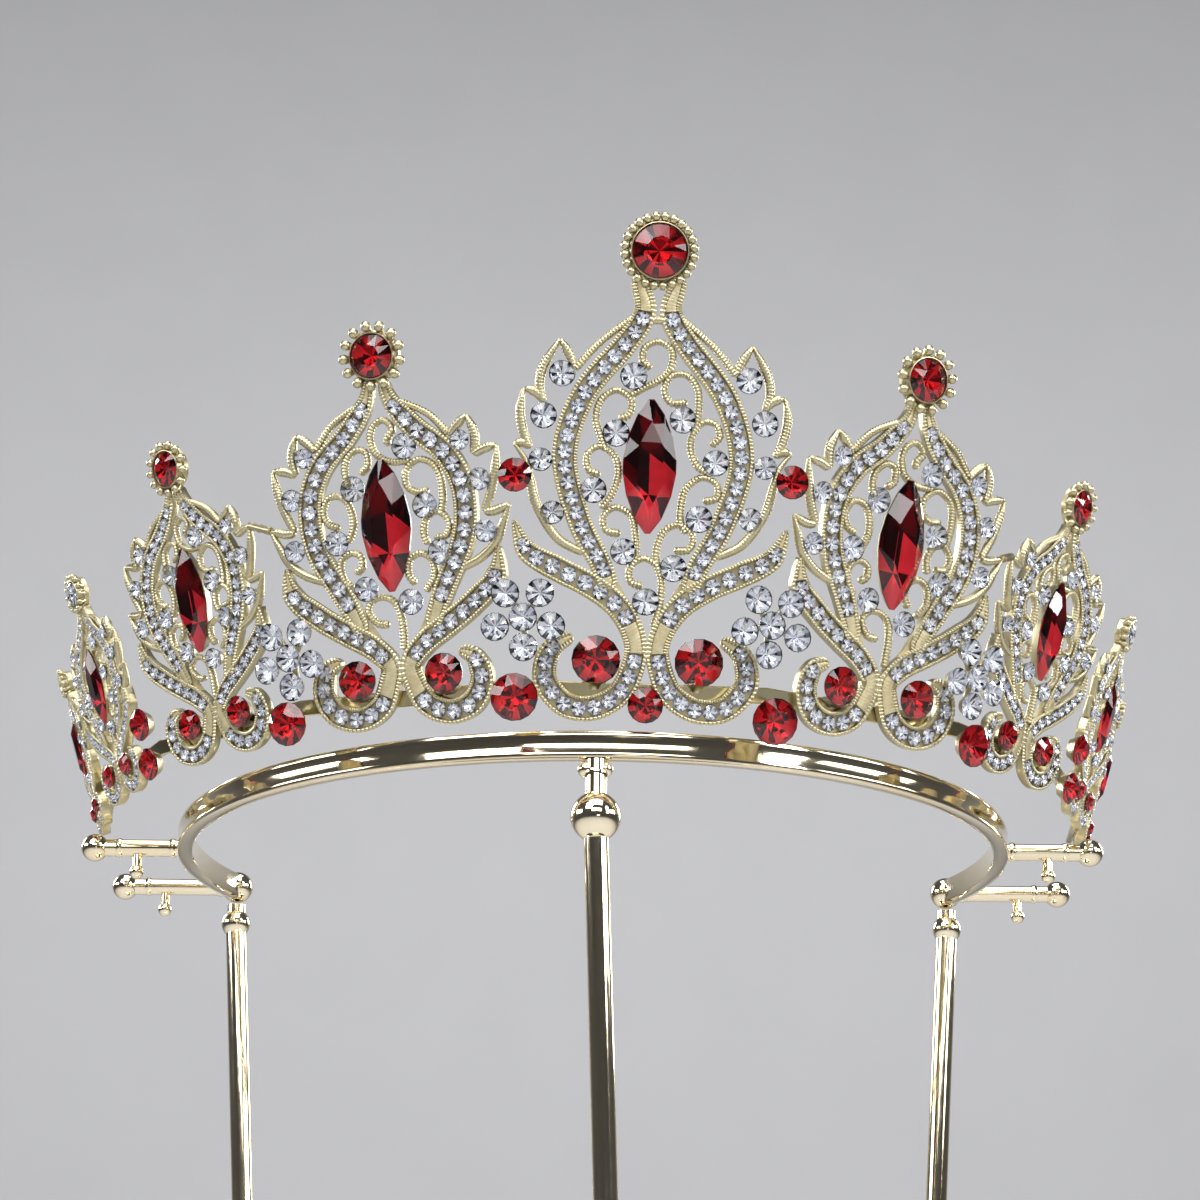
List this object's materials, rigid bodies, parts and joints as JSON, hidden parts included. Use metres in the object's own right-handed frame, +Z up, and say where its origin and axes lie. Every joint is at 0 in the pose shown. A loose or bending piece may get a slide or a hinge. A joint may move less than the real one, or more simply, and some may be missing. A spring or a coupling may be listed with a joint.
{
  "type": "pageant tiara on a display stand",
  "caption": "Openwork pageant tiara with red and clear cut stones, resting on a plain polished display stand with a C-shaped rail, slim posts and a round plate.",
  "frame": {"origin": "middle of the underside of the stand's round plate", "axes": "+Z up, the tiara's front faces -Y, +X to the right as seen from the front"},
  "size_m": [0.1677, 0.1506, 0.2051],
  "materials": {
    "cast_gold": "pale gold plated casting, milled rims",
    "stand_gold": "mirror polished champagne gold",
    "red_glass": "foil-backed cut glass, ruby red",
    "clear_glass": "foil-backed cut glass, clear"
  },
  "bodies": {
    "root": {"stand_plate": "stand_gold", "front_post": "stand_gold", "rear_post_left": "stand_gold", "rear_post_right": "stand_gold", "rail": "stand_gold", "strip": "cast_gold", "casting_centre": "cast_gold", "marquise_centre": "red_glass", "crest_stone_centre": "red_glass", "clear_stones_centre": "clear_glass", "small_stones_centre": "clear_glass", "red_stones_centre": "red_glass", "casting_left_1": "cast_gold", "marquise_left_1": "red_glass", "clear_stones_left_1": "clear_glass", "crest_stone_left_1": "red_glass", "red_stones_left_1": "red_glass", "link_left_1": "cast_gold", "casting_right_1": "cast_gold", "marquise_right_1": "red_glass", "clear_stones_right_1": "clear_glass", "crest_stone_right_1": "red_glass", "red_stones_right_1": "red_glass", "link_right_1": "cast_gold", "casting_left_2": "cast_gold", "marquise_left_2": "red_glass", "clear_stones_left_2": "clear_glass", "crest_stone_left_2": "red_glass", "red_stones_left_2": "red_glass", "link_left_2": "cast_gold", "casting_right_2": "cast_gold", "marquise_right_2": "red_glass", "clear_stones_right_2": "clear_glass", "crest_stone_right_2": "red_glass", "red_stones_right_2": "red_glass", "link_right_2": "cast_gold", "casting_left_3": "cast_gold", "marquise_left_3": "red_glass", "clear_stones_left_3": "clear_glass", "crest_stone_left_3": "clear_glass", "red_stones_left_3": "red_glass", "link_left_3": "cast_gold", "casting_right_3": "cast_gold", "marquise_right_3": "red_glass", "clear_stones_right_3": "clear_glass", "crest_stone_right_3": "clear_glass", "red_stones_right_3": "red_glass", "link_right_3": "cast_gold", "casting_left_4": "cast_gold", "marquise_left_4": "red_glass", "clear_stones_left_4": "clear_glass", "casting_right_4": "cast_gold", "marquise_right_4": "red_glass", "clear_stones_right_4": "clear_glass", "flower_stones_left": "clear_glass", "link_stones_left": "red_glass", "flower_stones_right": "clear_glass", "link_stones_right": "red_glass"}
  },
  "joints": []
}
